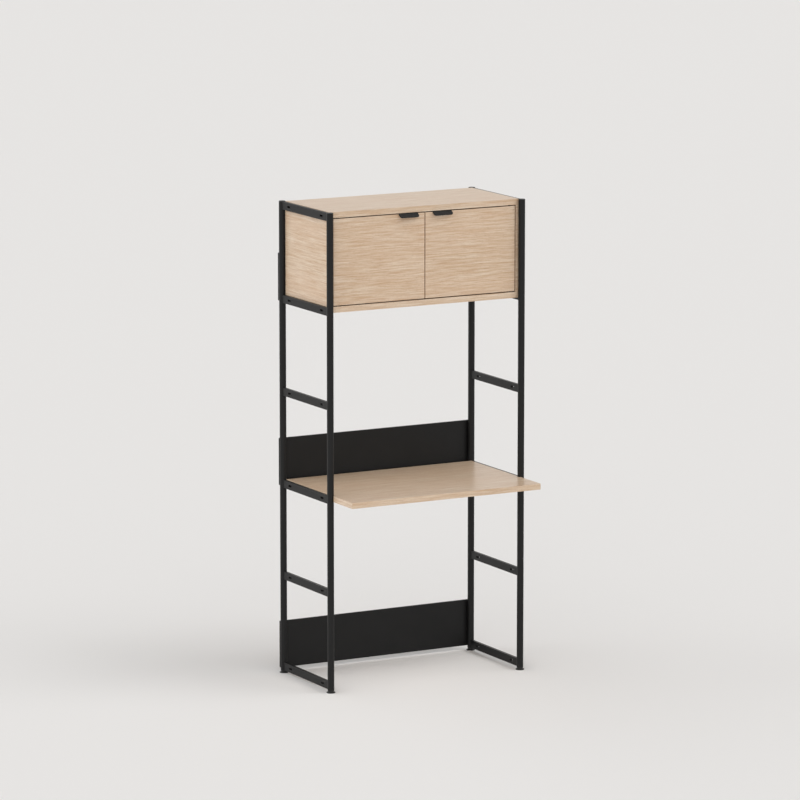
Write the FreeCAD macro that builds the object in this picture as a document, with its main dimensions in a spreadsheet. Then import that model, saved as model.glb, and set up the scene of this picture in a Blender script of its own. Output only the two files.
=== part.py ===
import FreeCAD, Part
import Sketcher
import os

# Shelving unit with desk: two welded ladder frames of round tube and flat bar carry a desk top,
# a cabinet with two doors and three folded back panels. Millimetres, +Z up, front towards -Y.
# The origin lies on the floor, under the centre of the unit's plan.

doc = FreeCAD.newDocument("shelving_unit_with_desk")
dims = doc.addObject("Spreadsheet::Sheet", "dims")

# Driving dimensions
DIMENSIONS = {
    "upright_spacing_x": 806,
    "upright_spacing_y": 381,
    "tube_diameter": 25,
    "tube_wall": 1.5,
    "rung_pitch": 350,
    "lowest_rung_height": 26,
    "rung_height": 30,
    "rung_thickness": 12,
    "weld_gap": 0.1,
    "slot_spacing": 260,
    "slot_shift": 5,
    "slot_length": 24,
    "slot_width": 7.5,
    "cap_thickness": 1.5,
    "cap_edge": 0.6,
    "cap_plug_length": 12,
    "plug_clearance": 0.05,
    "foot_diameter": 33,
    "foot_height": 9,
    "foot_rim_height": 3,
    "foot_neck_diameter": 22,
    "foot_neck_start": 5.5,
    "foot_edge_radius": 1.2,
    "foot_insert_flange": 1.5,
    "foot_insert_length": 20,
    "stud_diameter": 8,
    "stud_length": 34,
    "stud_socket_depth": 4,
    "running_clearance": 0.05,
    "panel_thickness": 22,
    "panel_proud": 1.5,
    "panel_end_gap": 0.25,
    "panel_tube_gap": 0.5,
    "desk_overhang": 160,
    "notch_clearance": 1,
    "set_screw_diameter": 6,
    "set_screw_length": 22,
    "set_screw_recess": 4,
    "set_screw_key": 3,
    "set_screw_key_depth": 3,
    "panel_insert_diameter": 9,
    "panel_insert_length": 18,
    "drill_run_out": 2,
    "back_panel_height": 180,
    "back_panel_drop": 10,
    "back_panel_reach": 8,
    "back_panel_depth": 8,
    "back_panel_corner": 3,
    "back_panel_bend": 2,
    "back_sheet": 1.5,
    "back_screw_spacing": 110,
    "back_screw_diameter": 5,
    "back_screw_length": 10,
    "back_screw_head_diameter": 9.5,
    "back_screw_head_height": 2.7,
    "back_screw_head_edge": 1,
    "back_screw_key": 3,
    "back_screw_key_depth": 1.6,
    "nut_diameter": 7,
    "nut_length": 9,
    "nut_head_diameter": 9,
    "nut_head_height": 0.6,
    "hole_clearance": 0.1,
    "side_thickness": 12,
    "back_board_thickness": 8,
    "back_board_inset": 10,
    "groove_depth": 6,
    "groove_clearance": 0.2,
    "dowel_diameter": 6,
    "dowel_length": 30,
    "dowel_in_panel": 12,
    "dowel_spacing": 200,
    "door_thickness": 19,
    "door_gap": 4,
    "door_setback": 1,
    "pivot_offset": 20,
    "pin_diameter": 8,
    "pin_in_door": 24,
    "pin_in_bush": 11,
    "bush_diameter": 12,
    "bush_depth": 12,
    "bush_flange_diameter": 16,
    "upper_bush_flange": 1,
    "door_float": 0.1,
    "pull_width": 80,
    "pull_centre": 71,
    "pull_projection": 17,
    "pull_drop": 13,
    "pull_leg": 22,
    "pull_sheet": 2,
    "pull_corner": 9,
    "pull_bend": 1,
    "pull_screw_spacing": 48,
    "pull_screw_height": 12,
    "wood_screw_diameter": 3.5,
    "wood_screw_length": 12,
    "wood_screw_head_diameter": 6.5,
    "wood_screw_head_height": 2,
    "catch_length": 54,
    "catch_depth": 14,
    "catch_height": 20,
    "catch_ear": 4,
    "catch_gap": 0.3,
    "catch_screw_spacing": 45,
    "catch_magnet_spacing": 22,
    "magnet_width": 14,
    "magnet_height": 9,
    "magnet_depth": 6,
    "striker_diameter": 13,
    "striker_thickness": 1.5,
    "striker_stem_diameter": 4,
    "striker_stem_length": 10,
}

for row, (name, size) in enumerate(DIMENSIONS.items(), 1):
    dims.set(f"A{row}", name)
    dims.set(f"B{row}", str(size))
    dims.setAlias(f"B{row}", name)
doc.recompute()

RUNG_COUNT = 6
DESK_RUNG = 3
CABINET_RUNGS = (5, 6)
BACK_PANEL_RUNGS = {"lower_back_panel": 1, "desk_back_panel": 3, "cabinet_back_panel": 5}
SIDES = {"left": -1, "right": 1}
ENDS = {"front": -1, "rear": 1}
SAME_SIZE = 0.01

sub_parts = []


# Helpers for bodies, sketches and features

def size_of(formula):
    """Value of a formula of the sheet's sizes, in millimetres."""
    return float(dims.evalExpression(formula))


def new_body(label, kept=True):
    """An empty body, listed for export unless it only serves as a pattern for a group."""
    body = doc.addObject("PartDesign::Body", label)
    body.Label = label
    if kept:
        sub_parts.append(body)
    return body


def place(item, x="0", y="0", z="0", turn=None):
    """Put an item at three formulas, turned first if a rotation is given."""
    if turn is not None:
        item.Placement = FreeCAD.Placement(FreeCAD.Vector(), turn)
    item.setExpression("Placement.Base.x", x)
    item.setExpression("Placement.Base.y", y)
    item.setExpression("Placement.Base.z", z)


def new_sketch(body, role, offset=None):
    """A sketch on one of the body's origin planes, or lifted off it along its normal."""
    sketch = body.newObject("Sketcher::SketchObject", "profile")
    planes = [feature for feature in body.Origin.OriginFeatures if feature.Role == role]
    sketch.AttachmentSupport = [(planes[0], "")]
    sketch.MapMode = "FlatFace"
    if offset is not None:
        sketch.setExpression("AttachmentOffset.Base.z", offset)
    return sketch


def bind(sketch, kind, *items):
    """Add a dimension whose last item is a formula of the sheet's sizes."""
    formula = items[-1]
    number = sketch.addConstraint(Sketcher.Constraint(kind, *items[:-1], size_of(formula)))
    sketch.setExpression(f"Constraints[{number}]", formula)


def pin_point(sketch, geometry, position, x, y):
    """Hold a point of the sketch at two formulas from the sketch's origin."""
    bind(sketch, "DistanceX", -1, 1, geometry, position, x)
    bind(sketch, "DistanceY", -1, 1, geometry, position, y)


def draw_outline(sketch, corners):
    """A closed outline of straight lines through corners given as pairs of formulas."""
    points = [FreeCAD.Vector(size_of(x), size_of(y), 0) for x, y in corners]
    lines = []
    for start, end in zip(points, points[1:] + points[:1]):
        lines.append(sketch.addGeometry(Part.LineSegment(start, end), False))
    for line, following in zip(lines, lines[1:] + lines[:1]):
        sketch.addConstraint(Sketcher.Constraint("Coincident", line, 2, following, 1))
    for line, (x, y) in zip(lines, corners):
        pin_point(sketch, line, 1, x, y)


def draw_rectangle(sketch, left, right, bottom, top):
    draw_outline(sketch, [(left, bottom), (right, bottom), (right, top), (left, top)])


def draw_circle(sketch, diameter, x="0", y="0"):
    centre = FreeCAD.Vector(size_of(x), size_of(y), 0)
    circle = Part.Circle(centre, FreeCAD.Vector(0, 0, 1), size_of(diameter) / 2)
    number = sketch.addGeometry(circle, False)
    pin_point(sketch, number, 3, x, y)
    bind(sketch, "Diameter", number, diameter)


def draw_oblong(sketch, length, width, x, y):
    """A slot with round ends, lying along the sketch's horizontal axis."""
    half_run = f"({length} - {width}) / 2"
    radius = size_of(width) / 2
    mid_x = size_of(x)
    mid_y = size_of(y)
    run = size_of(half_run)
    up = FreeCAD.Vector(0, radius, 0)
    west = FreeCAD.Vector(mid_x - run, mid_y, 0)
    east = FreeCAD.Vector(mid_x + run, mid_y, 0)
    outward = FreeCAD.Vector(radius, 0, 0)
    west_end = sketch.addGeometry(Part.Arc(west + up, west - outward, west - up), False)
    floor = sketch.addGeometry(Part.LineSegment(west - up, east - up), False)
    east_end = sketch.addGeometry(Part.Arc(east - up, east + outward, east + up), False)
    roof = sketch.addGeometry(Part.LineSegment(east + up, west + up), False)
    for arc, ends in ((west_end, ((floor, 1), (roof, 2))), (east_end, ((floor, 2), (roof, 1)))):
        for line, line_end in ends:
            line_point = sketch.getPoint(line, line_end)
            near_start = (sketch.getPoint(arc, 1) - line_point).Length < radius
            arc_end = 1 if near_start else 2
            sketch.addConstraint(Sketcher.Constraint("Tangent", arc, arc_end, line, line_end))
    pin_point(sketch, west_end, 3, f"{x} - {half_run}", y)
    pin_point(sketch, east_end, 3, f"{x} + {half_run}", y)
    sketch.addConstraint(Sketcher.Constraint("Equal", west_end, east_end))
    bind(sketch, "Diameter", west_end, width)


def draw_hexagon(sketch, across_flats):
    """A hexagon for a key, held by its six corners."""
    half_flat = f"{across_flats} / 2"
    corner = f"{across_flats} / sqrt(3)"
    half_corner = f"{across_flats} / sqrt(12)"
    draw_outline(sketch, [(corner, "0"), (half_corner, half_flat), (f"-{half_corner}", half_flat),
                          (f"-{corner}", "0"), (f"-{half_corner}", f"-{half_flat}"),
                          (half_corner, f"-{half_flat}")])


def add_pad(body, sketch, length, both_ways=False):
    pad = body.newObject("PartDesign::Pad", "pad")
    pad.Profile = sketch
    pad.SideType = "Symmetric" if both_ways else "One side"
    pad.setExpression("Length", length)
    doc.recompute()
    return pad


def add_pocket(body, sketch, length=None, turned=False):
    """Cut a sketch into the body: to a depth, or right through both ways. It must remove something."""
    before = body.Shape.Volume
    pocket = body.newObject("PartDesign::Pocket", "pocket")
    pocket.Profile = sketch
    pocket.Reversed = turned
    if length is None:
        pocket.Type = "ThroughAll"
        pocket.SideType = "Symmetric"
    else:
        pocket.setExpression("Length", length)
    doc.recompute()
    if not body.Shape.Volume < before:
        raise RuntimeError(f"a cut in {body.Label} removed nothing")
    return pocket


def add_mirror(body, feature, role):
    """Repeat a cut on the other side of an origin plane."""
    mirror = body.newObject("PartDesign::Mirrored", "mirror")
    mirror.Originals = [feature]
    planes = [plane for plane in body.Origin.OriginFeatures if plane.Role == role]
    mirror.MirrorPlane = (planes[0], [""])
    body.Tip = mirror
    doc.recompute()
    return mirror


def add_turned(body, corners):
    """A turned piece: an outline of radius and height pairs, revolved about the body's Z axis."""
    sketch = new_sketch(body, "XZ_Plane")
    draw_outline(sketch, corners)
    turned = body.newObject("PartDesign::Revolution", "turned")
    turned.Profile = sketch
    turned.ReferenceAxis = (sketch, ["V_Axis"])
    turned.Angle = 360
    doc.recompute()
    return turned


def add_fillet(body, radius, wanted):
    """Round the edges of the body's last feature whose bounding box passes a test."""
    base = body.Tip
    names = [f"Edge{number}" for number, edge in enumerate(base.Shape.Edges, 1) if wanted(edge.BoundBox)]
    fillet = body.newObject("PartDesign::Fillet", "fillet")
    fillet.Base = (base, names)
    fillet.setExpression("Radius", radius)
    doc.recompute()
    return fillet


def new_group(label, members):
    """Several like solids under one name."""
    group = doc.addObject("Part::Compound", label)
    group.Label = label
    group.Links = members
    sub_parts.append(group)
    return group


def new_copy(pattern, x, y, z, turn=None):
    """One of a group: a link to a pattern body, at its own place."""
    copy = doc.addObject("App::Link", "copy")
    copy.LinkedObject = pattern
    place(copy, x, y, z, turn)
    return copy


def new_rod(label, diameter, length, x, y, z, kept=True):
    """A plain upright rod."""
    rod = doc.addObject("Part::Cylinder", label)
    rod.Label = label
    rod.setExpression("Radius", f"{diameter} / 2")
    rod.setExpression("Height", length)
    place(rod, x, y, z)
    if kept:
        sub_parts.append(rod)
    return rod


def about_equal(first, second):
    return abs(first - second) < SAME_SIZE


# Places that several pieces share, as formulas of the sheet's sizes

upright_x = "dims.upright_spacing_x / 2"
upright_y = "dims.upright_spacing_y / 2"
tube_radius = "dims.tube_diameter / 2"
frame_y = "(dims.desk_overhang - dims.tube_diameter / 2 - dims.nut_head_height - dims.back_panel_depth) / 2"
tube_bottom = "(dims.foot_height + dims.foot_insert_flange)"
plug_radius = "(dims.tube_diameter / 2 - dims.tube_wall - dims.plug_clearance)"
slot_y = "dims.slot_spacing / 2"
panel_half_length = "(dims.upright_spacing_x / 2 - dims.rung_thickness / 2 - dims.panel_end_gap)"
panel_half_depth = "(dims.upright_spacing_y / 2 - dims.tube_diameter / 2 - dims.panel_tube_gap)"


def rung_z(number):
    return f"(dims.lowest_rung_height + {number - 1} * dims.rung_pitch)"


def panel_top(number):
    return f"({rung_z(number)} + dims.rung_height / 2 + dims.panel_proud)"


def panel_bottom(number):
    return f"({panel_top(number)} - dims.panel_thickness)"


def back_panel_middle(number):
    return f"({rung_z(number)} - dims.back_panel_drop + dims.back_panel_height / 2)"


tube_top = f"({rung_z(RUNG_COUNT)} + dims.rung_height / 2)"


# Uprights: round steel tube. The rear pair is drilled behind for the back panels' rivet nuts.

def make_upright(label, side, end):
    body = new_body(label)
    place(body, f"{side} * {upright_x}", f"{frame_y} + {end} * {upright_y}", tube_bottom)
    section = new_sketch(body, "XY_Plane")
    draw_circle(section, "dims.tube_diameter")
    draw_circle(section, "(dims.tube_diameter - 2 * dims.tube_wall)")
    add_pad(body, section, f"{tube_top} - {tube_bottom}")
    if end == ENDS["rear"]:
        drilling = new_sketch(body, "XZ_Plane")
        for number in BACK_PANEL_RUNGS.values():
            for step in (-1, 1):
                height = f"{back_panel_middle(number)} + {step} * dims.back_screw_spacing / 2 - {tube_bottom}"
                draw_circle(drilling, "(dims.nut_diameter + 2 * dims.hole_clearance)", "0", height)
        add_pocket(body, drilling, "dims.tube_diameter")


# Rungs: flat steel bar, slotted twice, its ends hollowed to the tubes that it is welded between

def make_rung(label, side, number):
    body = new_body(label)
    place(body, f"{side} * {upright_x}", frame_y, rung_z(number))
    bar = new_sketch(body, "YZ_Plane")
    draw_rectangle(bar, f"-{upright_y}", upright_y, "-dims.rung_height / 2", "dims.rung_height / 2")
    for step in (-1, 1):
        draw_oblong(bar, "dims.slot_length", "dims.slot_width", f"{step} * {slot_y} - dims.slot_shift", "0")
    add_pad(body, bar, "dims.rung_thickness", both_ways=True)
    hollows = new_sketch(body, "XY_Plane")
    for step in (-1, 1):
        draw_circle(hollows, "(dims.tube_diameter + 2 * dims.weld_gap)", "0", f"{step} * {upright_y}")
    add_pocket(body, hollows)


for side_name, side in SIDES.items():
    for end_name, end in ENDS.items():
        make_upright(f"{side_name}_{end_name}_upright", side, end)
    for number in range(1, RUNG_COUNT + 1):
        make_rung(f"{side_name}_rung_{number}", side, number)


# Top caps, foot inserts and levelling feet: one of each on every upright

def make_cap(label, x, y):
    body = new_body(label)
    place(body, x, y, tube_top)
    edge_height = "dims.cap_thickness - dims.cap_edge"
    add_turned(body, [("0", "-dims.cap_plug_length"), (plug_radius, "-dims.cap_plug_length"),
                      (plug_radius, "0"), (tube_radius, "0"), (tube_radius, edge_height),
                      (f"{tube_radius} - dims.cap_edge", "dims.cap_thickness"), ("0", "dims.cap_thickness")])


def make_foot_pad(label, x, y):
    body = new_body(label)
    place(body, x, y)
    socket = "(dims.stud_diameter / 2 + dims.plug_clearance)"
    socket_floor = "dims.foot_height - dims.stud_socket_depth"
    rim = "dims.foot_diameter / 2"
    neck = "dims.foot_neck_diameter / 2"
    add_turned(body, [("0", "0"), (rim, "0"), (rim, "dims.foot_rim_height"),
                      (neck, "dims.foot_neck_start"), (neck, "dims.foot_height"),
                      (socket, "dims.foot_height"), (socket, socket_floor), ("0", socket_floor)])
    widest = size_of("dims.foot_diameter")
    add_fillet(body, "dims.foot_edge_radius",
               lambda box: about_equal(box.XLength, widest) and about_equal(box.ZLength, 0))


foot_insert = new_body("foot_insert", kept=False)
insert_bore = "(dims.stud_diameter / 2 + dims.running_clearance)"
add_turned(foot_insert, [(insert_bore, "-dims.foot_insert_flange"), (tube_radius, "-dims.foot_insert_flange"),
                         (tube_radius, "0"), (plug_radius, "0"), (plug_radius, "dims.foot_insert_length"),
                         (insert_bore, "dims.foot_insert_length")])

insert_copies = []
for side_name, side in SIDES.items():
    for end_name, end in ENDS.items():
        corner_x = f"{side} * {upright_x}"
        corner_y = f"{frame_y} + {end} * {upright_y}"
        make_cap(f"{side_name}_{end_name}_cap", corner_x, corner_y)
        make_foot_pad(f"{side_name}_{end_name}_foot_pad", corner_x, corner_y)
        new_rod(f"{side_name}_{end_name}_foot_stud", "dims.stud_diameter", "dims.stud_length",
                corner_x, corner_y, "dims.foot_height - dims.stud_socket_depth")
        insert_copies.append(new_copy(foot_insert, corner_x, corner_y, tube_bottom))
new_group("foot_inserts", insert_copies)


# Back panels: sheet steel folded back along all four edges, screwed to the rear uprights from behind

back_half_width = "(dims.upright_spacing_x / 2 + dims.back_panel_reach)"
back_half_height = "(dims.back_panel_height / 2)"
back_face_y = f"({frame_y} + {upright_y} + {tube_radius} + dims.nut_head_height)"


def make_back_panel(label, number):
    body = new_body(label)
    place(body, "0", back_face_y, back_panel_middle(number))
    blank = new_sketch(body, "XZ_Plane")
    draw_rectangle(blank, f"-{back_half_width}", back_half_width, f"-{back_half_height}", back_half_height)
    tray = add_pad(body, blank, "dims.back_panel_depth")
    tray.Reversed = True
    doc.recompute()
    depth = size_of("dims.back_panel_depth")
    add_fillet(body, "dims.back_panel_corner", lambda box: about_equal(box.YLength, depth))
    add_fillet(body, "dims.back_panel_bend",
               lambda box: about_equal(box.YLength, 0) and box.YMax < depth / 2)
    inside = new_sketch(body, "XZ_Plane", "-dims.back_panel_depth")
    draw_rectangle(inside, f"-{back_half_width} + dims.back_sheet", f"{back_half_width} - dims.back_sheet",
                   f"-{back_half_height} + dims.back_sheet", f"{back_half_height} - dims.back_sheet")
    add_pocket(body, inside, "dims.back_panel_depth - dims.back_sheet", turned=True)
    fold = size_of("dims.back_panel_depth - dims.back_sheet")
    add_fillet(body, "dims.back_panel_corner - dims.back_sheet",
               lambda box: about_equal(box.YLength, fold))
    holes = new_sketch(body, "XZ_Plane")
    for side in SIDES.values():
        for step in (-1, 1):
            draw_circle(holes, "(dims.back_screw_diameter + 2 * dims.hole_clearance)",
                        f"{side} * {upright_x}", f"{step} * dims.back_screw_spacing / 2")
    add_pocket(body, holes)


rivet_nut = new_body("rivet_nut", kept=False)
nut_bore = "(dims.back_screw_diameter / 2 + dims.running_clearance)"
nut_barrel = "dims.nut_diameter / 2"
nut_rim = "dims.nut_head_diameter / 2"
add_turned(rivet_nut, [(nut_bore, "-dims.nut_length"), (nut_barrel, "-dims.nut_length"), (nut_barrel, "0"),
                       (nut_rim, "0"), (nut_rim, "dims.nut_head_height"), (nut_bore, "dims.nut_head_height")])

back_screw = new_body("back_screw", kept=False)
back_shank = "dims.back_screw_diameter / 2"
head_edge = "dims.back_screw_head_diameter / 2"
head_top = "dims.back_screw_head_height"
add_turned(back_screw, [("0", "-dims.back_screw_length"), (back_shank, "-dims.back_screw_length"),
                        (back_shank, "0"), (head_edge, "0"),
                        (head_edge, f"{head_top} - dims.back_screw_head_edge"),
                        (f"{head_edge} - dims.back_screw_head_edge", head_top), ("0", head_top)])
back_key = new_sketch(back_screw, "XY_Plane", head_top)
draw_hexagon(back_key, "dims.back_screw_key")
add_pocket(back_screw, back_key, "dims.back_screw_key_depth")

facing_rear = FreeCAD.Rotation(FreeCAD.Vector(1, 0, 0), -90)
nut_copies = []
screw_copies = []
for label, number in BACK_PANEL_RUNGS.items():
    make_back_panel(label, number)
    for side in SIDES.values():
        for step in (-1, 1):
            hole_x = f"{side} * {upright_x}"
            hole_z = f"{back_panel_middle(number)} + {step} * dims.back_screw_spacing / 2"
            nut_y = f"{back_face_y} - dims.nut_head_height"
            nut_copies.append(new_copy(rivet_nut, hole_x, nut_y, hole_z, facing_rear))
            screw_y = f"{back_face_y} + dims.back_sheet"
            screw_copies.append(new_copy(back_screw, hole_x, screw_y, hole_z, facing_rear))
new_group("rivet_nuts", nut_copies)
new_group("back_panel_screws", screw_copies)


# Desk top and the cabinet's top and bottom: oak-veneered board held between the rungs by set screws
# that pass through the rungs' slots into threaded inserts in the boards' ends

insert_drop = "(dims.rung_height / 2 + dims.panel_proud - dims.panel_thickness)"


def drill_ends(body):
    """Blind holes for the threaded inserts in both ends of a board."""
    holes = new_sketch(body, "YZ_Plane", panel_half_length)
    for step in (-1, 1):
        draw_circle(holes, "(dims.panel_insert_diameter + 2 * dims.hole_clearance)",
                    f"{step} * {slot_y} - dims.slot_shift", f"-{insert_drop}")
    drilled = add_pocket(body, holes, "(dims.panel_insert_length + dims.drill_run_out)")
    add_mirror(body, drilled, "YZ_Plane")


desk_top = new_body("desk_top")
place(desk_top, "0", frame_y, panel_bottom(DESK_RUNG))
desk_plan = new_sketch(desk_top, "XY_Plane")
draw_rectangle(desk_plan, f"-{panel_half_length}", panel_half_length,
               f"-{upright_y} - dims.desk_overhang", panel_half_depth)
add_pad(desk_top, desk_plan, "dims.panel_thickness")
notches = new_sketch(desk_top, "XY_Plane")
for side in SIDES.values():
    draw_circle(notches, "(dims.tube_diameter + 2 * dims.notch_clearance)",
                f"{side} * {upright_x}", f"-{upright_y}")
add_pocket(desk_top, notches)
drill_ends(desk_top)

# Cabinet: top and bottom run over the sides on dowels, and the back board sits in a groove all round

cabinet_low, cabinet_high = CABINET_RUNGS
side_bottom = panel_top(cabinet_low)
side_height = f"({panel_bottom(cabinet_high)} - {side_bottom})"
side_middle_x = f"({panel_half_length} - dims.side_thickness / 2)"
opening_half = f"({panel_half_length} - dims.side_thickness)"
groove_rear = f"({panel_half_depth} - dims.back_board_inset + dims.groove_clearance)"
groove_front = f"({groove_rear} - dims.back_board_thickness - 2 * dims.groove_clearance)"
dowel_hole = "(dims.dowel_diameter + 2 * dims.hole_clearance)"
dowel_y = "dims.dowel_spacing / 2"
door_width = f"(({opening_half} * 2 - 3 * dims.door_gap) / 2)"
door_height = f"({side_height} - 2 * dims.door_gap)"
door_bottom = f"({side_bottom} + dims.door_gap)"
pivot_x = f"({opening_half} - dims.door_gap - dims.pivot_offset)"
door_middle_y = f"(-{panel_half_depth} + dims.door_setback + dims.door_thickness / 2)"
catch_front_y = (f"({door_middle_y} + dims.door_thickness / 2 + dims.striker_thickness"
                 " + dims.catch_gap)")
catch_middle_y = f"({catch_front_y} + dims.catch_depth / 2)"


def make_cabinet_deck(label, number, inner_face, inner_is_low):
    """A cabinet top or bottom, machined in the face that looks into the cabinet."""
    body = new_body(label)
    place(body, "0", frame_y, panel_bottom(number))
    plan = new_sketch(body, "XY_Plane")
    draw_rectangle(plan, f"-{panel_half_length}", panel_half_length, f"-{panel_half_depth}", panel_half_depth)
    add_pad(body, plan, "dims.panel_thickness")
    drill_ends(body)
    groove = new_sketch(body, "XY_Plane", inner_face)
    groove_end = f"({opening_half} + dims.groove_depth)"
    draw_rectangle(groove, f"-{groove_end}", groove_end, groove_front, groove_rear)
    add_pocket(body, groove, "dims.groove_depth", turned=inner_is_low)
    dowel_holes = new_sketch(body, "XY_Plane", inner_face)
    for side in SIDES.values():
        for step in (-1, 1):
            draw_circle(dowel_holes, dowel_hole, f"{side} * {side_middle_x}", f"{step} * {dowel_y}")
    add_pocket(body, dowel_holes, "(dims.dowel_in_panel + dims.hole_clearance)", turned=inner_is_low)
    bush_holes = new_sketch(body, "XY_Plane", inner_face)
    for side in SIDES.values():
        draw_circle(bush_holes, "(dims.bush_diameter + 2 * dims.hole_clearance)",
                    f"{side} * {pivot_x}", door_middle_y)
    add_pocket(body, bush_holes, "(dims.bush_depth + dims.hole_clearance)", turned=inner_is_low)
    return body


def drill_for_wood_screws(body, sketch, places, turned=False):
    """Pilot holes a little wider than the screws' shanks, deep enough for their points."""
    for x, y in places:
        draw_circle(sketch, "(dims.wood_screw_diameter + 2 * dims.hole_clearance)", x, y)
    add_pocket(body, sketch, "(dims.wood_screw_length + dims.hole_clearance)", turned=turned)


make_cabinet_deck("cabinet_bottom", cabinet_low, "dims.panel_thickness", False)
cabinet_top = make_cabinet_deck("cabinet_top", cabinet_high, "0", True)
catch_holes = new_sketch(cabinet_top, "XY_Plane")
catch_screw_places = [(f"{step} * dims.catch_screw_spacing / 2", catch_middle_y) for step in (-1, 1)]
drill_for_wood_screws(cabinet_top, catch_holes, catch_screw_places, turned=True)


def make_cabinet_side(label, side):
    body = new_body(label)
    place(body, f"{side} * {side_middle_x}", frame_y, side_bottom)
    plan = new_sketch(body, "XY_Plane")
    half_thickness = "dims.side_thickness / 2"
    draw_rectangle(plan, f"-{half_thickness}", half_thickness, f"-{panel_half_depth}", panel_half_depth)
    add_pad(body, plan, side_height)
    groove = new_sketch(body, "XY_Plane")
    inner = f"{-side} * {half_thickness}"
    groove_floor = f"{-side} * ({half_thickness} - dims.groove_depth)"
    left, right = (inner, groove_floor) if side > 0 else (groove_floor, inner)
    draw_rectangle(groove, left, right, groove_front, groove_rear)
    add_pocket(body, groove)
    side_hole_depth = "(dims.dowel_length - dims.dowel_in_panel + dims.hole_clearance)"
    for height, turned in (("0", True), (side_height, False)):
        holes = new_sketch(body, "XY_Plane", height)
        for step in (-1, 1):
            draw_circle(holes, dowel_hole, "0", f"{step} * {dowel_y}")
        add_pocket(body, holes, side_hole_depth, turned=turned)


for side_name, side in SIDES.items():
    make_cabinet_side(f"cabinet_{side_name}_side", side)

back_board = new_body("cabinet_back_board")
place(back_board, "0", f"{frame_y} + {groove_rear} - dims.groove_clearance",
      f"{side_bottom} + {side_height} / 2")
board_face = new_sketch(back_board, "XZ_Plane")
board_half_width = f"({opening_half} + dims.groove_depth - dims.groove_clearance)"
board_half_height = f"({side_height} / 2 + dims.groove_depth - dims.groove_clearance)"
draw_rectangle(board_face, f"-{board_half_width}", board_half_width,
               f"-{board_half_height}", board_half_height)
add_pad(back_board, board_face, "dims.back_board_thickness")

dowels = []
for side in SIDES.values():
    for step in (-1, 1):
        dowel_x = f"{side} * {side_middle_x}"
        dowel_place_y = f"{frame_y} + {step} * {dowel_y}"
        low_z = f"{side_bottom} - dims.dowel_in_panel"
        high_z = f"{side_bottom} + {side_height} + dims.dowel_in_panel - dims.dowel_length"
        for dowel_z in (low_z, high_z):
            dowels.append(new_rod("dowel", "dims.dowel_diameter", "dims.dowel_length",
                                  dowel_x, dowel_place_y, dowel_z, kept=False))
new_group("cabinet_dowels", dowels)

panel_insert = new_body("panel_insert", kept=False)
insert_section = new_sketch(panel_insert, "XY_Plane")
draw_circle(insert_section, "dims.panel_insert_diameter")
draw_circle(insert_section, "(dims.set_screw_diameter + 2 * dims.running_clearance)")
add_pad(panel_insert, insert_section, "dims.panel_insert_length")

set_screw = new_body("set_screw", kept=False)
set_section = new_sketch(set_screw, "XY_Plane")
draw_circle(set_section, "dims.set_screw_diameter")
add_pad(set_screw, set_section, "dims.set_screw_length")
set_key = new_sketch(set_screw, "XY_Plane")
draw_hexagon(set_key, "dims.set_screw_key")
add_pocket(set_screw, set_key, "dims.set_screw_key_depth", turned=True)

inwards = {side: FreeCAD.Rotation(FreeCAD.Vector(0, 1, 0), -90 * side) for side in SIDES.values()}
panel_inserts = []
set_screws = []
for number in (DESK_RUNG, *CABINET_RUNGS):
    for side in SIDES.values():
        for step in (-1, 1):
            hole_y = f"{frame_y} + {step} * {slot_y} - dims.slot_shift"
            panel_inserts.append(new_copy(panel_insert, f"{side} * {panel_half_length}", hole_y,
                                          rung_z(number), inwards[side]))
            screw_x = f"{side} * ({upright_x} + dims.rung_thickness / 2 - dims.set_screw_recess)"
            set_screws.append(new_copy(set_screw, screw_x, hole_y, rung_z(number), inwards[side]))
new_group("panel_inserts", panel_inserts)
new_group("panel_set_screws", set_screws)


# Doors: inset leaves that turn on pins let into their top and bottom edges near the outer corners.
# A bent steel pull hooks over each top edge, and a twin magnetic catch holds both leaves shut.

def make_pivot_bush(name, flange):
    """A flanged bush, barrel upwards, its flange hanging below."""
    bush = new_body(name, kept=False)
    bore = "(dims.pin_diameter / 2 + dims.running_clearance)"
    add_turned(bush, [(bore, f"-{flange}"), ("dims.bush_flange_diameter / 2", f"-{flange}"),
                      ("dims.bush_flange_diameter / 2", "0"), ("dims.bush_diameter / 2", "0"),
                      ("dims.bush_diameter / 2", "dims.bush_depth"), (bore, "dims.bush_depth")])
    return bush


upper_bush = make_pivot_bush("upper_bush", "dims.upper_bush_flange")
lower_bush = make_pivot_bush("lower_bush", "(dims.door_gap - dims.door_float)")
barrel_down = FreeCAD.Rotation(FreeCAD.Vector(1, 0, 0), 180)

wood_screw = new_body("wood_screw", kept=False)
wood_shank = "dims.wood_screw_diameter / 2"
wood_head = "dims.wood_screw_head_diameter / 2"
add_turned(wood_screw, [("0", "-dims.wood_screw_length"), (wood_shank, "-dims.wood_screw_length"),
                        (wood_shank, "0"), (wood_head, "0"), (wood_head, "dims.wood_screw_head_height / 2"),
                        (wood_shank, "dims.wood_screw_head_height"), ("0", "dims.wood_screw_head_height")])

striker_z = f"({door_height} - dims.catch_height / 2 + dims.door_gap)"


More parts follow.
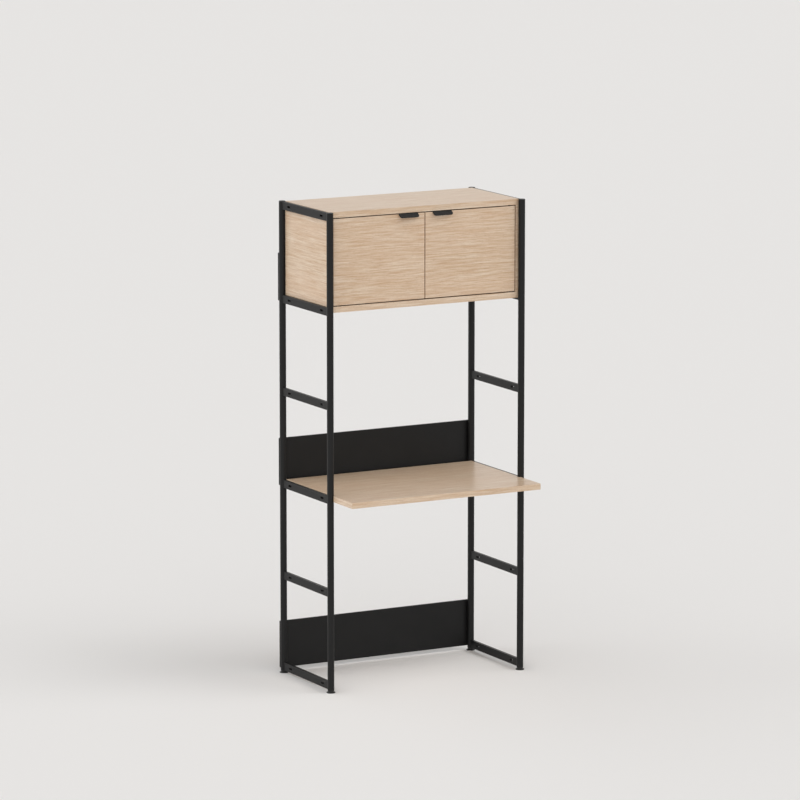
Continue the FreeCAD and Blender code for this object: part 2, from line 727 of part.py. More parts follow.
def make_door(label, side):
    """A leaf drawn about its own pivot axis, free edge towards the cabinet's middle."""
    body = new_body(label)
    place(body, f"{side} * {pivot_x}", f"{frame_y} + {door_middle_y}", door_bottom)
    plan = new_sketch(body, "XY_Plane")
    hinge_edge = f"{side} * dims.pivot_offset"
    free_edge = f"{-side} * ({door_width} - dims.pivot_offset)"
    left, right = (free_edge, hinge_edge) if side > 0 else (hinge_edge, free_edge)
    half_thickness = "dims.door_thickness / 2"
    draw_rectangle(plan, left, right, f"-{half_thickness}", half_thickness)
    add_pad(body, plan, door_height)
    for height, turned in (("0", True), (door_height, False)):
        pin_hole = new_sketch(body, "XY_Plane", height)
        draw_circle(pin_hole, "(dims.pin_diameter + 2 * dims.plug_clearance)")
        add_pocket(body, pin_hole, "dims.pin_in_door", turned=turned)
    rear_face = f"-{half_thickness}"
    pull_x = f"{side} * (dims.pull_centre - {pivot_x})"
    pull_holes = new_sketch(body, "XZ_Plane", rear_face)
    screw_z = f"{door_height} - dims.pull_screw_height"
    screw_places = [(f"{pull_x} + {step} * dims.pull_screw_spacing / 2", screw_z) for step in (-1, 1)]
    drill_for_wood_screws(body, pull_holes, screw_places, turned=True)
    striker_hole = new_sketch(body, "XZ_Plane", rear_face)
    striker_x = f"{side} * (dims.catch_magnet_spacing / 2 - {pivot_x})"
    draw_circle(striker_hole, "(dims.striker_stem_diameter + 2 * dims.plug_clearance)", striker_x, striker_z)
    add_pocket(body, striker_hole, "(dims.striker_stem_length + dims.hole_clearance)", turned=True)


def make_pull(label, side):
    """Sheet steel bent over the door's top edge: a leg behind, and a tab that slopes forward and down."""
    body = new_body(label)
    front = f"{frame_y} + {door_middle_y} - dims.door_thickness / 2"
    place(body, f"{side} * dims.pull_centre", front, f"{door_bottom} + {door_height}")
    bent = new_sketch(body, "YZ_Plane")
    leg_front = "dims.door_thickness"
    leg_rear = "dims.door_thickness + dims.pull_sheet"
    tab_run = "(dims.pull_projection - dims.pull_bend)"
    tab_length = f"sqrt({tab_run} ^ 2 + dims.pull_drop ^ 2)"
    bend_shift = f"dims.pull_sheet * ({tab_length} - {tab_run}) / dims.pull_drop"
    tip_forward = f"dims.pull_sheet * dims.pull_drop / {tab_length}"
    tip_height = f"dims.pull_sheet * {tab_run} / {tab_length}"
    draw_outline(bent, [(leg_front, "-dims.pull_leg"), (leg_front, "0"), ("-dims.pull_bend", "0"),
                        ("-dims.pull_projection", "-dims.pull_drop"),
                        (f"-dims.pull_projection - {tip_forward}", f"{tip_height} - dims.pull_drop"),
                        (f"-dims.pull_bend - {bend_shift}", "dims.pull_sheet"),
                        (leg_rear, "dims.pull_sheet"), (leg_rear, "-dims.pull_leg")])
    add_pad(body, bent, "dims.pull_width", both_ways=True)
    screw_holes = new_sketch(body, "XZ_Plane")
    for step in (-1, 1):
        draw_circle(screw_holes, "(dims.wood_screw_diameter + 2 * dims.hole_clearance)",
                    f"{step} * dims.pull_screw_spacing / 2", "-dims.pull_screw_height")
    add_pocket(body, screw_holes, f"{leg_rear} + dims.hole_clearance")
    sheet = size_of("dims.pull_sheet")
    drop = size_of("dims.pull_drop")
    bend_front = size_of("-dims.pull_bend")
    width = size_of("dims.pull_width")
    add_fillet(body, "dims.pull_corner",
               lambda box: about_equal(box.XLength, 0) and about_equal(box.ZMin, -drop)
               and box.ZLength < sheet)
    add_fillet(body, "dims.pull_bend + dims.pull_sheet",
               lambda box: about_equal(box.XLength, width) and about_equal(box.ZMax, sheet))
    add_fillet(body, "dims.pull_bend",
               lambda box: about_equal(box.XLength, width) and about_equal(box.YMax, bend_front)
               and about_equal(box.ZMax, 0))


bushes = []
for side_name, side in SIDES.items():
    make_door(f"{side_name}_door", side)
    make_pull(f"{side_name}_pull", side)
    axis_x = f"{side} * {pivot_x}"
    axis_y = f"{frame_y} + {door_middle_y}"
    pin_length = "(dims.pin_in_door + dims.door_gap + dims.pin_in_bush)"
    low_pin = new_rod("lower_pin", "dims.pin_diameter", pin_length, axis_x, axis_y,
                      f"{side_bottom} - dims.pin_in_bush", kept=False)
    high_pin = new_rod("upper_pin", "dims.pin_diameter", pin_length, axis_x, axis_y,
                       f"{door_bottom} + {door_height} - dims.pin_in_door", kept=False)
    new_group(f"{side_name}_door_pins", [low_pin, high_pin])
    bushes.append(new_copy(lower_bush, axis_x, axis_y, side_bottom, barrel_down))
    bushes.append(new_copy(upper_bush, axis_x, axis_y, f"{side_bottom} + {side_height}"))
    pull_screw_y = f"{frame_y} + {door_middle_y} + dims.door_thickness / 2 + dims.pull_sheet"
    pull_screws = []
    for step in (-1, 1):
        screw_x = f"{side} * dims.pull_centre + {step} * dims.pull_screw_spacing / 2"
        pull_screws.append(new_copy(wood_screw, screw_x, pull_screw_y,
                                    f"{door_bottom} + {door_height} - dims.pull_screw_height", facing_rear))
    new_group(f"{side_name}_pull_screws", pull_screws)
    striker = new_body(f"{side_name}_striker")
    striker_y = f"{frame_y} + {door_middle_y} + dims.door_thickness / 2"
    place(striker, f"{side} * dims.catch_magnet_spacing / 2", striker_y,
          f"{door_bottom} + {striker_z}", facing_rear)
    stem = "dims.striker_stem_diameter / 2"
    disc = "dims.striker_diameter / 2"
    add_turned(striker, [("0", "-dims.striker_stem_length"), (stem, "-dims.striker_stem_length"), (stem, "0"),
                         (disc, "0"), (disc, "dims.striker_thickness"), ("0", "dims.striker_thickness")])
new_group("pivot_bushes", bushes)

catch_housing = new_body("catch_housing")
catch_z = f"{side_bottom} + {side_height} - dims.catch_height"
place(catch_housing, "0", f"{frame_y} + {catch_middle_y}", catch_z)
catch_plan = new_sketch(catch_housing, "XY_Plane")
draw_rectangle(catch_plan, "-dims.catch_length / 2", "dims.catch_length / 2",
               "-dims.catch_depth / 2", "dims.catch_depth / 2")
add_pad(catch_housing, catch_plan, "dims.catch_height")
magnet_pockets = new_sketch(catch_housing, "XZ_Plane", "dims.catch_depth / 2")
magnet_low = "(dims.catch_height - dims.magnet_height) / 2"
for side in SIDES.values():
    magnet_x = f"{side} * dims.catch_magnet_spacing / 2"
    magnet_reach = "(dims.magnet_width / 2 + dims.hole_clearance)"
    draw_rectangle(magnet_pockets, f"{magnet_x} - {magnet_reach}", f"{magnet_x} + {magnet_reach}",
                   f"{magnet_low} - dims.hole_clearance",
                   f"{magnet_low} + dims.magnet_height + dims.hole_clearance")
add_pocket(catch_housing, magnet_pockets, "dims.magnet_depth")
catch_screw_holes = new_sketch(catch_housing, "XY_Plane")
for step in (-1, 1):
    draw_circle(catch_screw_holes, "(dims.wood_screw_diameter + 2 * dims.hole_clearance)",
                f"{step} * dims.catch_screw_spacing / 2", "0")
add_pocket(catch_housing, catch_screw_holes)
catch_head_holes = new_sketch(catch_housing, "XY_Plane")
for step in (-1, 1):
    draw_circle(catch_head_holes, "(dims.wood_screw_head_diameter + 2 * dims.hole_clearance)",
                f"{step} * dims.catch_screw_spacing / 2", "0")
add_pocket(catch_housing, catch_head_holes, "(dims.catch_height - dims.catch_ear)", turned=True)

magnets = []
catch_screws = []
for side in SIDES.values():
    ear_z = f"{side_bottom} + {side_height} - dims.catch_ear"
    catch_screws.append(new_copy(wood_screw, f"{side} * dims.catch_screw_spacing / 2",
                                 f"{frame_y} + {catch_middle_y}", ear_z, barrel_down))
    magnet = doc.addObject("Part::Box", "magnet")
    magnet.setExpression("Length", "dims.magnet_width")
    magnet.setExpression("Width", "dims.magnet_depth")
    magnet.setExpression("Height", "dims.magnet_height")
    place(magnet, f"{side} * dims.catch_magnet_spacing / 2 - dims.magnet_width / 2",
          f"{frame_y} + {catch_front_y}", f"{catch_z} + {magnet_low}")
    magnets.append(magnet)
new_group("catch_magnets", magnets)
new_group("catch_screws", catch_screws)

doc.recompute()

# Every object is sound before any file is written
for item in doc.Objects:
    if "Invalid" in item.State or "Error" in item.State:
        raise RuntimeError(f"{item.Label} did not build: {item.State}")
for item in sub_parts:
    if item.Shape.isNull() or not item.Shape.isValid():
        raise RuntimeError(f"{item.Label} has no sound shape")

os.makedirs("parts", exist_ok=True)
for item in sub_parts:
    item.Shape.exportStep(f"parts/{item.Label}.step")
print(len(sub_parts), "sub-parts written")
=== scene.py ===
import math
import bmesh
import bpy
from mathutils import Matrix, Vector


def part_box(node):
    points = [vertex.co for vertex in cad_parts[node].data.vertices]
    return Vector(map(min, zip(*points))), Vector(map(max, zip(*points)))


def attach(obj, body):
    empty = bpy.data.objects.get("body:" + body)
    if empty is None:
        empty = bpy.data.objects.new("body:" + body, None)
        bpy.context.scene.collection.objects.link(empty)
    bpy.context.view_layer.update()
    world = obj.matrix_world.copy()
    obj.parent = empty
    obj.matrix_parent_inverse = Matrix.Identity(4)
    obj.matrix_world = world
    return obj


# A free-standing shelving unit with a desk top and a two-door cabinet, dressed for a studio
# picture. Metres, +Z up, the user sits on the -Y side.
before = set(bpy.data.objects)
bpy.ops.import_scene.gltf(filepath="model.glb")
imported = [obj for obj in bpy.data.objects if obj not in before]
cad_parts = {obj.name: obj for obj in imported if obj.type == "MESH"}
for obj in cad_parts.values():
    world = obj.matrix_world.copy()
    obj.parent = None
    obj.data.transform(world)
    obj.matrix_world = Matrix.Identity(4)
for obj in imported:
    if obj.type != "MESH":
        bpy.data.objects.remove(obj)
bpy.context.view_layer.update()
MM = 0.001


# Ladder frames: four round uprights and twelve slotted flat bars of mild steel, welded into two
# ladders, blasted and powder coated matt black in one go. The coat rounds every edge a little.
SIDES = ("left", "right")
ENDS = ("front", "rear")
RUNGS = range(1, 7)
BAR_EDGE = 0.5 * MM
SAME_POINT = 0.001 * MM
SHARP_EDGE = math.radians(40)
EDGE_STEPS = 2


def linear(hex_colour):
    """An sRGB hex colour as the linear colour that a shader takes."""
    parts = [int(hex_colour[i:i + 2], 16) / 255 for i in (1, 3, 5)]
    return (*(c / 12.92 if c <= 0.04045 else ((c + 0.055) / 1.055) ** 2.4 for c in parts), 1.0)


def node(tree, kind, numbered=(), **named):
    """Add a node, set its properties, and link or set its sockets by number or by name."""
    made = tree.nodes.new(kind)
    sockets = dict(numbered)
    for name, value in named.items():
        if hasattr(made, name):
            setattr(made, name, value)
        else:
            sockets[name.replace("_", " ")] = value
    for socket, value in sockets.items():
        if isinstance(value, bpy.types.NodeSocket):
            tree.links.new(value, made.inputs[socket])
        else:
            made.inputs[socket].default_value = value
    return made


def new_material(name):
    """A node material, its tree and the Principled shader in it."""
    material = bpy.data.materials.new(name)
    material.use_nodes = True
    return material, material.node_tree, material.node_tree.nodes["Principled BSDF"]


def finish_node(name, material, edge=0.0):
    """Give a CAD piece its material and, where it is cut from bar or board, eased edges."""
    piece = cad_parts[name]
    piece.data.materials.clear()
    piece.data.materials.append(material)
    if edge:
        weld = piece.modifiers.new("joined_faces", "WELD")
        weld.merge_threshold = SAME_POINT
        bevel = piece.modifiers.new("eased_edges", "BEVEL")
        bevel.width = edge
        bevel.segments = EDGE_STEPS
        bevel.limit_method = "ANGLE"
        bevel.angle_limit = SHARP_EDGE
        bevel.harden_normals = True


def powder_coat():
    """Polyester powder coat: matt black with a fine orange peel that breaks up its sheen."""
    material, tree, shader = new_material("matt_black_powder_coat")
    peel_mm, peel_depth_mm, cloud_mm = 1.4, 0.05, 90
    place = node(tree, "ShaderNodeTexCoord").outputs["Object"]
    peel = node(tree, "ShaderNodeTexNoise", Vector=place, Scale=1 / (peel_mm * MM), Detail=3.0)
    cloud = node(tree, "ShaderNodeTexNoise", Vector=place, Scale=1 / (cloud_mm * MM), Detail=2.0)
    tone = node(tree, "ShaderNodeValToRGB", Fac=cloud.outputs["Fac"])
    tone.color_ramp.elements[0].color = linear("#131313")
    tone.color_ramp.elements[1].color = linear("#191919")
    sheen = node(tree, "ShaderNodeMapRange", Value=peel.outputs["Fac"], To_Min=0.40, To_Max=0.50)
    bump = node(tree, "ShaderNodeBump", Height=peel.outputs["Fac"], Strength=0.12,
                Distance=peel_depth_mm * MM)
    tree.links.new(tone.outputs["Color"], shader.inputs["Base Color"])
    tree.links.new(sheen.outputs["Result"], shader.inputs["Roughness"])
    tree.links.new(bump.outputs["Normal"], shader.inputs["Normal"])
    shader.inputs["Specular IOR Level"].default_value = 0.22
    return material


coated_steel = powder_coat()
for side in SIDES:
    for end in ENDS:
        finish_node(f"{side}_{end}_upright", coated_steel)
    for number in RUNGS:
        finish_node(f"{side}_rung_{number}", coated_steel, BAR_EDGE)


# Weld beads: each bar is welded to its tubes along both faces, and under the coat the beads are
# small soft-rippled fillets. Where a board lies against the bar, only the outer face is welded.
FREE_RUNGS = (1, 2, 4)
BEAD_LEG = 2.2 * MM
BEAD_RIPPLE = 0.18 * MM
BEAD_RIPPLE_LENGTH = 2.6 * MM
BEAD_ROWS = 60
BEAD_END_LENGTH = 1.5 * MM
BEAD_END_SHARE = 0.25
BEAD_HOLLOW = 0.16


def tube_axis(side, end):
    """The middle of an upright, and its radius."""
    low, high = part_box(f"{side}_{end}_upright")
    return (low + high) / 2, (high.x - low.x) / 2


def add_bead(mesh, side, number, end, face):
    """One bead in the corner of a tube and a bar's face; face is 1 for +X and -1 for -X."""
    axis, radius = tube_axis(side, end)
    bar_low, bar_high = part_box(f"{side}_rung_{number}")
    half_bar = (bar_high.x - bar_low.x) / 2
    inward = -1 if end == "rear" else 1
    corner_angle = math.asin(half_bar / radius)
    root = (half_bar, radius * math.cos(corner_angle))
    rows = []
    for row in range(BEAD_ROWS + 1):
        z = bar_low.z + (bar_high.z - bar_low.z) * row / BEAD_ROWS
        ripple = BEAD_RIPPLE * math.sin(2 * math.pi * (z - bar_low.z) / BEAD_RIPPLE_LENGTH)
        from_end = min(z - bar_low.z, bar_high.z - z)
        taper = min(1.0, BEAD_END_SHARE + (1 - BEAD_END_SHARE) * from_end / BEAD_END_LENGTH)
        leg = (BEAD_LEG + ripple) * taper
        on_bar = (root[0], root[1] + leg)
        tube_angle = corner_angle + leg / radius
        on_tube = (radius * math.sin(tube_angle), radius * math.cos(tube_angle))
        middle = [(1 - BEAD_HOLLOW) * (a + b) / 2 + BEAD_HOLLOW * c
                  for a, b, c in zip(on_bar, on_tube, root)]
        ring = [root, on_bar, middle, on_tube]
        rows.append([mesh.verts.new((axis.x + face * x, axis.y + inward * y, z)) for x, y in ring])
    for low_ring, high_ring in zip(rows, rows[1:]):
        for i in range(len(low_ring)):
            j = (i + 1) % len(low_ring)
            mesh.faces.new((low_ring[i], low_ring[j], high_ring[j], high_ring[i]))
    mesh.faces.new(rows[0])
    mesh.faces.new(rows[-1])


def new_piece(name, mesh, material, body):
    """Turn a built mesh into a smooth piece of the object that rides on a body."""
    bmesh.ops.recalc_face_normals(mesh, faces=mesh.faces)
    data = bpy.data.meshes.new(name)
    mesh.to_mesh(data)
    mesh.free()
    data.shade_smooth()
    data.materials.append(material)
    piece = bpy.data.objects.new(name, data)
    bpy.context.scene.collection.objects.link(piece)
    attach(piece, body)


for side, outward in zip(SIDES, (-1, 1)):
    beads = bmesh.new()
    for number in RUNGS:
        for end in ENDS:
            add_bead(beads, side, number, end, outward)
            if number in FREE_RUNGS:
                add_bead(beads, side, number, end, -outward)
    new_piece(f"{side}_ladder_welds", beads, coated_steel, "frame")


# Caps, feet and their inserts: black polyamide, injection moulded with a fine spark-eroded grain.
# A cap closes each upright's top, and under each stands a pad on a stud that screws into an insert.
def moulded_polyamide():
    """Black polyamide: the fine grain of its mould leaves it dull and a little uneven."""
    material, tree, shader = new_material("black_moulded_polyamide")
    grain_mm, grain_depth_mm = 0.5, 0.04
    place = node(tree, "ShaderNodeTexCoord").outputs["Object"]
    grain = node(tree, "ShaderNodeTexNoise", Vector=place, Scale=1 / (grain_mm * MM), Detail=4.0)
    tone = node(tree, "ShaderNodeValToRGB", Fac=grain.outputs["Fac"])
    tone.color_ramp.elements[0].color = linear("#111111")
    tone.color_ramp.elements[1].color = linear("#181818")
    sheen = node(tree, "ShaderNodeMapRange", Value=grain.outputs["Fac"], To_Min=0.45, To_Max=0.62)
    bump = node(tree, "ShaderNodeBump", Height=grain.outputs["Fac"], Strength=0.2,
                Distance=grain_depth_mm * MM)
    tree.links.new(tone.outputs["Color"], shader.inputs["Base Color"])
    tree.links.new(sheen.outputs["Result"], shader.inputs["Roughness"])
    tree.links.new(bump.outputs["Normal"], shader.inputs["Normal"])
    return material


polyamide = moulded_polyamide()
for side in SIDES:
    for end in ENDS:
        finish_node(f"{side}_{end}_cap", polyamide)
        finish_node(f"{side}_{end}_foot_pad", polyamide)
finish_node("foot_inserts", polyamide)


# Back panels: sheet steel folded back along all four edges and coated like the frame, held to the
# rear uprights by coated button-head screws in rivet nuts.
for name in ("lower_back_panel", "desk_back_panel", "cabinet_back_panel"):
    finish_node(name, coated_steel)
finish_node("back_panel_screws", coated_steel)


# Desk top: particle board faced and edged in light oak veneer, sanded and sealed with a matt
# lacquer, as the cabinet's boards are. The grain runs along the unit on every board but the
# cabinet's sides, where it runs front to back.
BOARD_EDGE = 0.7 * MM
QUARTER_TURN = math.radians(90)
END_FACE_SHARE = 0.7
MIX_SHARE, MIX_VECTOR_A, MIX_VECTOR_B, MIX_COLOUR_A, MIX_COLOUR_B = 0, 4, 5, 6, 7
MIXED_VECTOR, MIXED_COLOUR = 1, 2


def grain_place(tree, turned, shift):
    """Coordinates with X along the grain, which on a board's end faces runs across the board."""
    coordinates = node(tree, "ShaderNodeTexCoord")
    along = node(tree, "ShaderNodeMapping", Vector=coordinates.outputs["Object"],
                 Rotation=(0, 0, QUARTER_TURN if turned else 0), Location=shift)
    across = node(tree, "ShaderNodeMapping", Vector=along.outputs["Vector"],
                  Rotation=(0, 0, QUARTER_TURN))
    facing = node(tree, "ShaderNodeSeparateXYZ", Vector=coordinates.outputs["Normal"])
    towards_end = node(tree, "ShaderNodeMath", {0: facing.outputs["Y" if turned else "X"]},
                       operation="ABSOLUTE")
    on_end = node(tree, "ShaderNodeMath", {0: towards_end.outputs[0], 1: END_FACE_SHARE},
                  operation="GREATER_THAN")
    directions = {MIX_SHARE: on_end.outputs[0], MIX_VECTOR_A: along.outputs["Vector"],
                  MIX_VECTOR_B: across.outputs["Vector"]}
    return node(tree, "ShaderNodeMix", directions, data_type="VECTOR").outputs[MIXED_VECTOR]


def grain_scale(length_mm, width_mm):
    """How many features of this length and width go into a metre along and across the grain."""
    return 1 / (length_mm * MM), 1 / (width_mm * MM), 1 / (width_mm * MM)


def swaying_grain(tree, place):
    """The same coordinates with a grain that sways sideways in long low waves."""
    wave_length_mm, wave_mm, wave_height_mm = 260, 70, 3
    reach = 2 * wave_height_mm * MM
    scaled = node(tree, "ShaderNodeVectorMath", {0: place, 1: grain_scale(wave_length_mm, wave_mm)},
                  operation="MULTIPLY")
    wave = node(tree, "ShaderNodeTexNoise", Vector=scaled.outputs["Vector"], Scale=1.0, Detail=1.0)
    centred = node(tree, "ShaderNodeVectorMath", {0: wave.outputs["Color"], 1: (0.5, 0.5, 0.5)},
                   operation="SUBTRACT")
    sway = node(tree, "ShaderNodeVectorMath", {0: centred.outputs["Vector"], 1: (0, reach, reach)},
                operation="MULTIPLY")
    swayed = node(tree, "ShaderNodeVectorMath", {0: place, 1: sway.outputs["Vector"]},
                  operation="ADD")
    return swayed.outputs["Vector"]


def oak_veneer(name, turned, shift, line_share):
    """Crown-cut oak under matt lacquer: soft growth bands, fine lines and short dark open pores."""
    material, tree, shader = new_material(name)
    band_length_mm, band_mm = 260, 11
    line_length_mm, line_mm = 90, 3.6
    pore_length_mm, pore_mm, pore_depth_mm = 9, 0.5, 0.12
    cloud_length_mm, cloud_mm = 600, 130
    cloud_share, pore_share = 0.22, 0.45
    place = grain_place(tree, turned, shift)
    figure = swaying_grain(tree, place)
    scaled = node(tree, "ShaderNodeVectorMath", {0: figure, 1: grain_scale(band_length_mm, band_mm)},
                  operation="MULTIPLY")
    bands = node(tree, "ShaderNodeTexNoise", Vector=scaled.outputs["Vector"], Scale=1.0, Detail=3.0,
                 Roughness=0.6)
    scaled = node(tree, "ShaderNodeVectorMath", {0: figure, 1: grain_scale(line_length_mm, line_mm)},
                  operation="MULTIPLY")
    lines = node(tree, "ShaderNodeTexNoise", Vector=scaled.outputs["Vector"], Scale=1.0, Detail=3.0,
                 Roughness=0.65)
    scaled = node(tree, "ShaderNodeVectorMath", {0: figure, 1: grain_scale(pore_length_mm, pore_mm)},
                  operation="MULTIPLY")
    pores = node(tree, "ShaderNodeTexNoise", Vector=scaled.outputs["Vector"], Scale=1.0, Detail=1.0)
    scaled = node(tree, "ShaderNodeVectorMath", {0: place, 1: grain_scale(cloud_length_mm, cloud_mm)},
                  operation="MULTIPLY")
    clouds = node(tree, "ShaderNodeTexNoise", Vector=scaled.outputs["Vector"], Scale=1.0, Detail=1.0)
    growth = node(tree, "ShaderNodeValToRGB", Fac=bands.outputs["Fac"])
    growth.color_ramp.elements[0].position = 0.30
    growth.color_ramp.elements[0].color = linear("#ceb396")
    growth.color_ramp.elements[1].position = 0.68
    growth.color_ramp.elements[1].color = linear("#e0cfba")
    lined = node(tree, "ShaderNodeMapRange", Value=lines.outputs["Fac"], From_Min=0.40,
                 From_Max=0.66, To_Min=0.0, To_Max=line_share).outputs["Result"]
    clouded = node(tree, "ShaderNodeMapRange", Value=clouds.outputs["Fac"], From_Min=0.35,
                   From_Max=0.65, To_Min=0.0, To_Max=cloud_share).outputs["Result"]
    pored = node(tree, "ShaderNodeMapRange", Value=pores.outputs["Fac"], From_Min=0.60,
                 From_Max=0.70, To_Min=0.0, To_Max=pore_share).outputs["Result"]
    colour = growth.outputs["Color"]
    for share, over in ((lined, "#b7926e"), (clouded, "#d4b295"), (pored, "#8b6b4b")):
        layers = {MIX_SHARE: share, MIX_COLOUR_A: colour, MIX_COLOUR_B: linear(over)}
        colour = node(tree, "ShaderNodeMix", layers, data_type="RGBA").outputs[MIXED_COLOUR]
    sheen = node(tree, "ShaderNodeMapRange", Value=lines.outputs["Fac"], To_Min=0.26, To_Max=0.36)
    sunk = node(tree, "ShaderNodeMath", {0: pored, 1: -1.0}, operation="MULTIPLY")
    bump = node(tree, "ShaderNodeBump", Height=sunk.outputs[0], Strength=0.25,
                Distance=pore_depth_mm * MM)
    tree.links.new(colour, shader.inputs["Base Color"])
    tree.links.new(sheen.outputs["Result"], shader.inputs["Roughness"])
    tree.links.new(bump.outputs["Normal"], shader.inputs["Normal"])
    return material


desk_oak = oak_veneer("desk_oak_veneer", turned=False, shift=(0.31, 1.7, 0.4), line_share=0.62)
finish_node("desk_top", desk_oak, BOARD_EDGE)


# Cabinet: top and bottom on dowels over the two sides, a back board in a groove all round. Each
# kind of board has a veneer of its own, so that no figure shows twice in a row.
deck_oak = oak_veneer("cabinet_deck_oak_veneer", turned=False, shift=(1.9, 0.6, 2.2),
                      line_share=0.62)
side_oak = oak_veneer("cabinet_side_oak_veneer", turned=True, shift=(4.4, 2.9, 1.3),
                      line_share=0.68)
for name in ("cabinet_top", "cabinet_bottom", "cabinet_back_board"):
    finish_node(name, deck_oak, BOARD_EDGE)
for name in ("cabinet_left_side", "cabinet_right_side"):
    finish_node(name, side_oak, BOARD_EDGE)


# Doors: two leaves cut from one sheet, so that the grain runs on across the gap. Each turns on
# steel pins in acetal bushes, and a bent, coated steel pull hooks over its top edge. A moulded
# magnetic catch under the cabinet's top holds both.
DOOR_EDGE = 0.4 * MM
PULL_EDGE = 0.25 * MM
CATCH_EDGE = 0.4 * MM

door_oak = oak_veneer("door_oak_veneer", turned=False, shift=(3.1, 4.2, 5.7), line_share=0.80)
for side in SIDES:
    finish_node(f"{side}_door", door_oak, DOOR_EDGE)
    finish_node(f"{side}_pull", coated_steel, PULL_EDGE)
finish_node("catch_housing", polyamide, CATCH_EDGE)


# Fixings: zinc-plated studs, inserts, rivet nuts, screws and strikers, bright and a little uneven.
# The doors' pins, which show in the gap over the doors, get a near-black zinc: painted shade, so that
# they show no glint and stay as dark as the shaded gap they sit in. The set screws in the rungs'
# slots are coated like the frame.
def zinc_plate(name, dark, light):
    """Steel under electroplated zinc, bright, or near black as painted shade, with a faint uneven
    sheen.
    """
    material, tree, shader = new_material(name)
    crystal_mm = 0.8
    place = node(tree, "ShaderNodeTexCoord").outputs["Object"]
    crystal = node(tree, "ShaderNodeTexNoise", Vector=place, Scale=1 / (crystal_mm * MM), Detail=3.0)
    tone = node(tree, "ShaderNodeValToRGB", Fac=crystal.outputs["Fac"])
    tone.color_ramp.elements[0].color = linear(dark)
    tone.color_ramp.elements[1].color = linear(light)
    sheen = node(tree, "ShaderNodeMapRange", Value=crystal.outputs["Fac"], To_Min=0.22, To_Max=0.40)
    tree.links.new(tone.outputs["Color"], shader.inputs["Base Color"])
    tree.links.new(sheen.outputs["Result"], shader.inputs["Roughness"])
    shader.inputs["Metallic"].default_value = 1.0
    return material


zinc = zinc_plate("bright_zinc_plate", "#b4b7ba", "#d2d4d6")
# Painted shade: the pins' zinc is near black, so that they show no glint and stay dark in the gap
# over the doors.
painted_shade_zinc = zinc_plate("painted_shade_zinc_plate", "#1d1d1e", "#272728")
for name in ("rivet_nuts", "panel_inserts", "catch_screws"):
    finish_node(name, zinc)
for side in SIDES:
    finish_node(f"{side}_door_pins", painted_shade_zinc)
    for name in ("pull_screws", "striker"):
        finish_node(f"{side}_{name}", zinc)
    for end in ENDS:
        finish_node(f"{side}_{end}_foot_stud", zinc)
finish_node("panel_set_screws", coated_steel)


# Bushes, dowels and magnets: turned acetal, beech and pressed ferrite, all but hidden inside the
# cabinet. Each is plain, with faint specks of its own kind.
def speckled(name, dark, light, speck_mm, roughness):
    """A plain solid material with faint specks."""
    material, tree, shader = new_material(name)
    place = node(tree, "ShaderNodeTexCoord").outputs["Object"]
    speck = node(tree, "ShaderNodeTexNoise", Vector=place, Scale=1 / (speck_mm * MM), Detail=3.0)
    tone = node(tree, "ShaderNodeValToRGB", Fac=speck.outputs["Fac"])
    tone.color_ramp.elements[0].color = linear(dark)
    tone.color_ramp.elements[1].color = linear(light)
    tree.links.new(tone.outputs["Color"], shader.inputs["Base Color"])
    shader.inputs["Roughness"].default_value = roughness
    return material


acetal = speckled("turned_acetal", "#151515", "#1b1b1b", speck_mm=0.6, roughness=0.35)
beech = speckled("beech", "#c99f74", "#dcb991", speck_mm=0.9, roughness=0.6)
ferrite = speckled("pressed_ferrite", "#2c2c2e", "#39393b", speck_mm=0.4, roughness=0.5)
finish_node("pivot_bushes", acetal)
finish_node("cabinet_dowels", beech)
finish_node("catch_magnets", ferrite)


# Studio: a pale seamless floor, an even sky and four very wide soft lamps, none of which belongs
# to the object. Angles are in degrees.
FLOOR_TONE = "#eeecea"
FLOOR_SIZE = 160.0
FLOOR_CELLS = 8
SKY_TONE = "#e7e5e3"
SKY_STRENGTH = 0.37


def studio_floor():
    """A wide matt floor under the feet that reflects nothing."""
    mesh = bmesh.new()
    bmesh.ops.create_grid(mesh, x_segments=FLOOR_CELLS, y_segments=FLOOR_CELLS, size=FLOOR_SIZE / 2)
    data = bpy.data.meshes.new("studio_floor")
    mesh.to_mesh(data)
    mesh.free()
    material, _, shader = new_material("pale_studio_floor")
    shader.inputs["Base Color"].default_value = linear(FLOOR_TONE)
    shader.inputs["Roughness"].default_value = 0.9
    shader.inputs["Specular IOR Level"].default_value = 0.0
    data.materials.append(material)
    floor = bpy.data.objects.new("studio_floor", data)
    bpy.context.scene.collection.objects.link(floor)


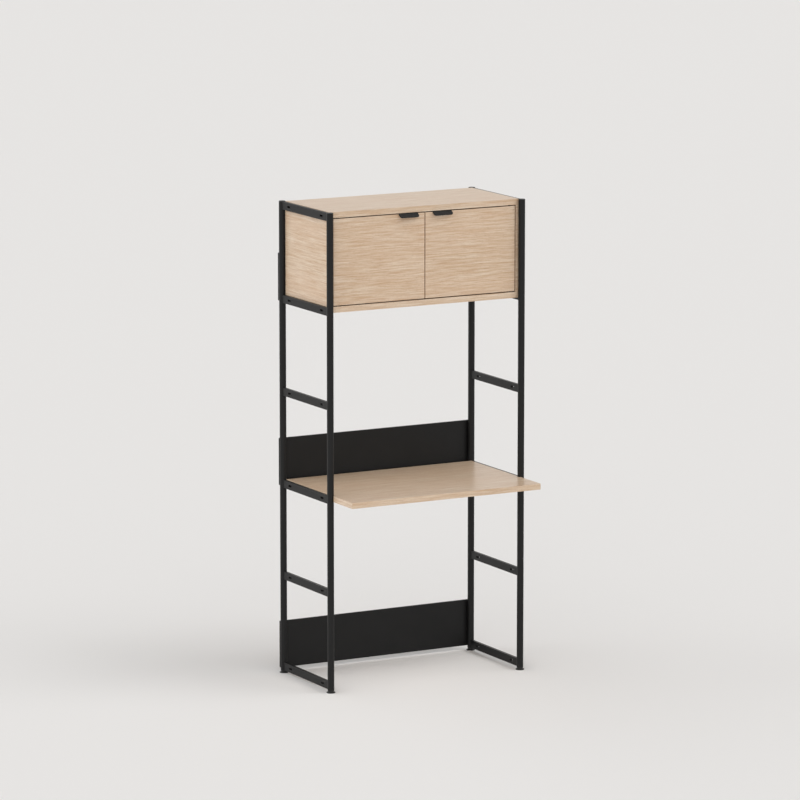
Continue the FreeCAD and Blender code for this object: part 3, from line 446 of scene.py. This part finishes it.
def studio_sky():
    """White light of one strength from all round, seen directly and in reflections as pale grey."""
    world = bpy.data.worlds.new("studio_sky")
    bpy.context.scene.world = world
    world.use_nodes = True
    tree = world.node_tree
    tree.nodes.clear()
    path = node(tree, "ShaderNodeLightPath").outputs
    seen = node(tree, "ShaderNodeMath", {0: path["Is Camera Ray"], 1: path["Is Glossy Ray"]},
                operation="MAXIMUM").outputs[0]
    lit = node(tree, "ShaderNodeBackground", Color=(1, 1, 1, 1), Strength=SKY_STRENGTH).outputs[0]
    shown = node(tree, "ShaderNodeBackground", Color=linear(SKY_TONE), Strength=1.0).outputs[0]
    mixed = node(tree, "ShaderNodeMixShader", {0: seen, 1: lit, 2: shown}).outputs[0]
    node(tree, "ShaderNodeOutputWorld", Surface=mixed)


def soft_lamp(name, azimuth, elevation, strength, spread):
    """A lamp so far off that it lights evenly; azimuth 0 stands in front and 90 on the right."""
    lamp = bpy.data.lights.new(name, "SUN")
    lamp.energy = strength
    lamp.angle = math.radians(spread)
    item = bpy.data.objects.new(name, lamp)
    bpy.context.scene.collection.objects.link(item)
    turn, rise = math.radians(azimuth), math.radians(elevation)
    level = math.cos(rise)
    towards = Vector((math.sin(turn) * level, -math.cos(turn) * level, math.sin(rise)))
    item.rotation_mode = "QUATERNION"
    item.rotation_quaternion = towards.to_track_quat("Z", "Y")


studio_floor()
studio_sky()
soft_lamp("high_right_lamp", azimuth=50, elevation=50, strength=0.77, spread=36)
soft_lamp("left_lamp", azimuth=-78, elevation=22, strength=1.26, spread=90)
soft_lamp("left_rear_lamp", azimuth=-148, elevation=11, strength=1.30, spread=90)
soft_lamp("front_lamp", azimuth=-5, elevation=12, strength=0.97, spread=80)


# Camera: a long lens a good way off to the left and a little above the unit. Heading and pitch are
# in degrees, the lens and its sensor in millimetres.
CAMERA_AIM = Vector((-0.0413, 0.010, 1.0505))
CAMERA_DISTANCE = 18.797
CAMERA_HEADING = 28.4404
CAMERA_PITCH = 9.9428
CAMERA_LENS = 227.126
CAMERA_SENSOR = 36.0
CAMERA_REACH = 300.0

camera_data = bpy.data.cameras.new("camera")
camera_data.lens = CAMERA_LENS
camera_data.sensor_width = CAMERA_SENSOR
camera_data.clip_end = CAMERA_REACH
camera = bpy.data.objects.new("camera", camera_data)
bpy.context.scene.collection.objects.link(camera)
heading, pitch = math.radians(CAMERA_HEADING), math.radians(CAMERA_PITCH)
level = math.cos(pitch)
forward = Vector((math.sin(heading) * level, math.cos(heading) * level, -math.sin(pitch)))
camera.location = CAMERA_AIM - forward * CAMERA_DISTANCE
camera.rotation_euler = (math.pi / 2 - pitch, 0, -heading)
bpy.context.scene.camera = camera
bpy.context.scene.view_settings.view_transform = "Standard"
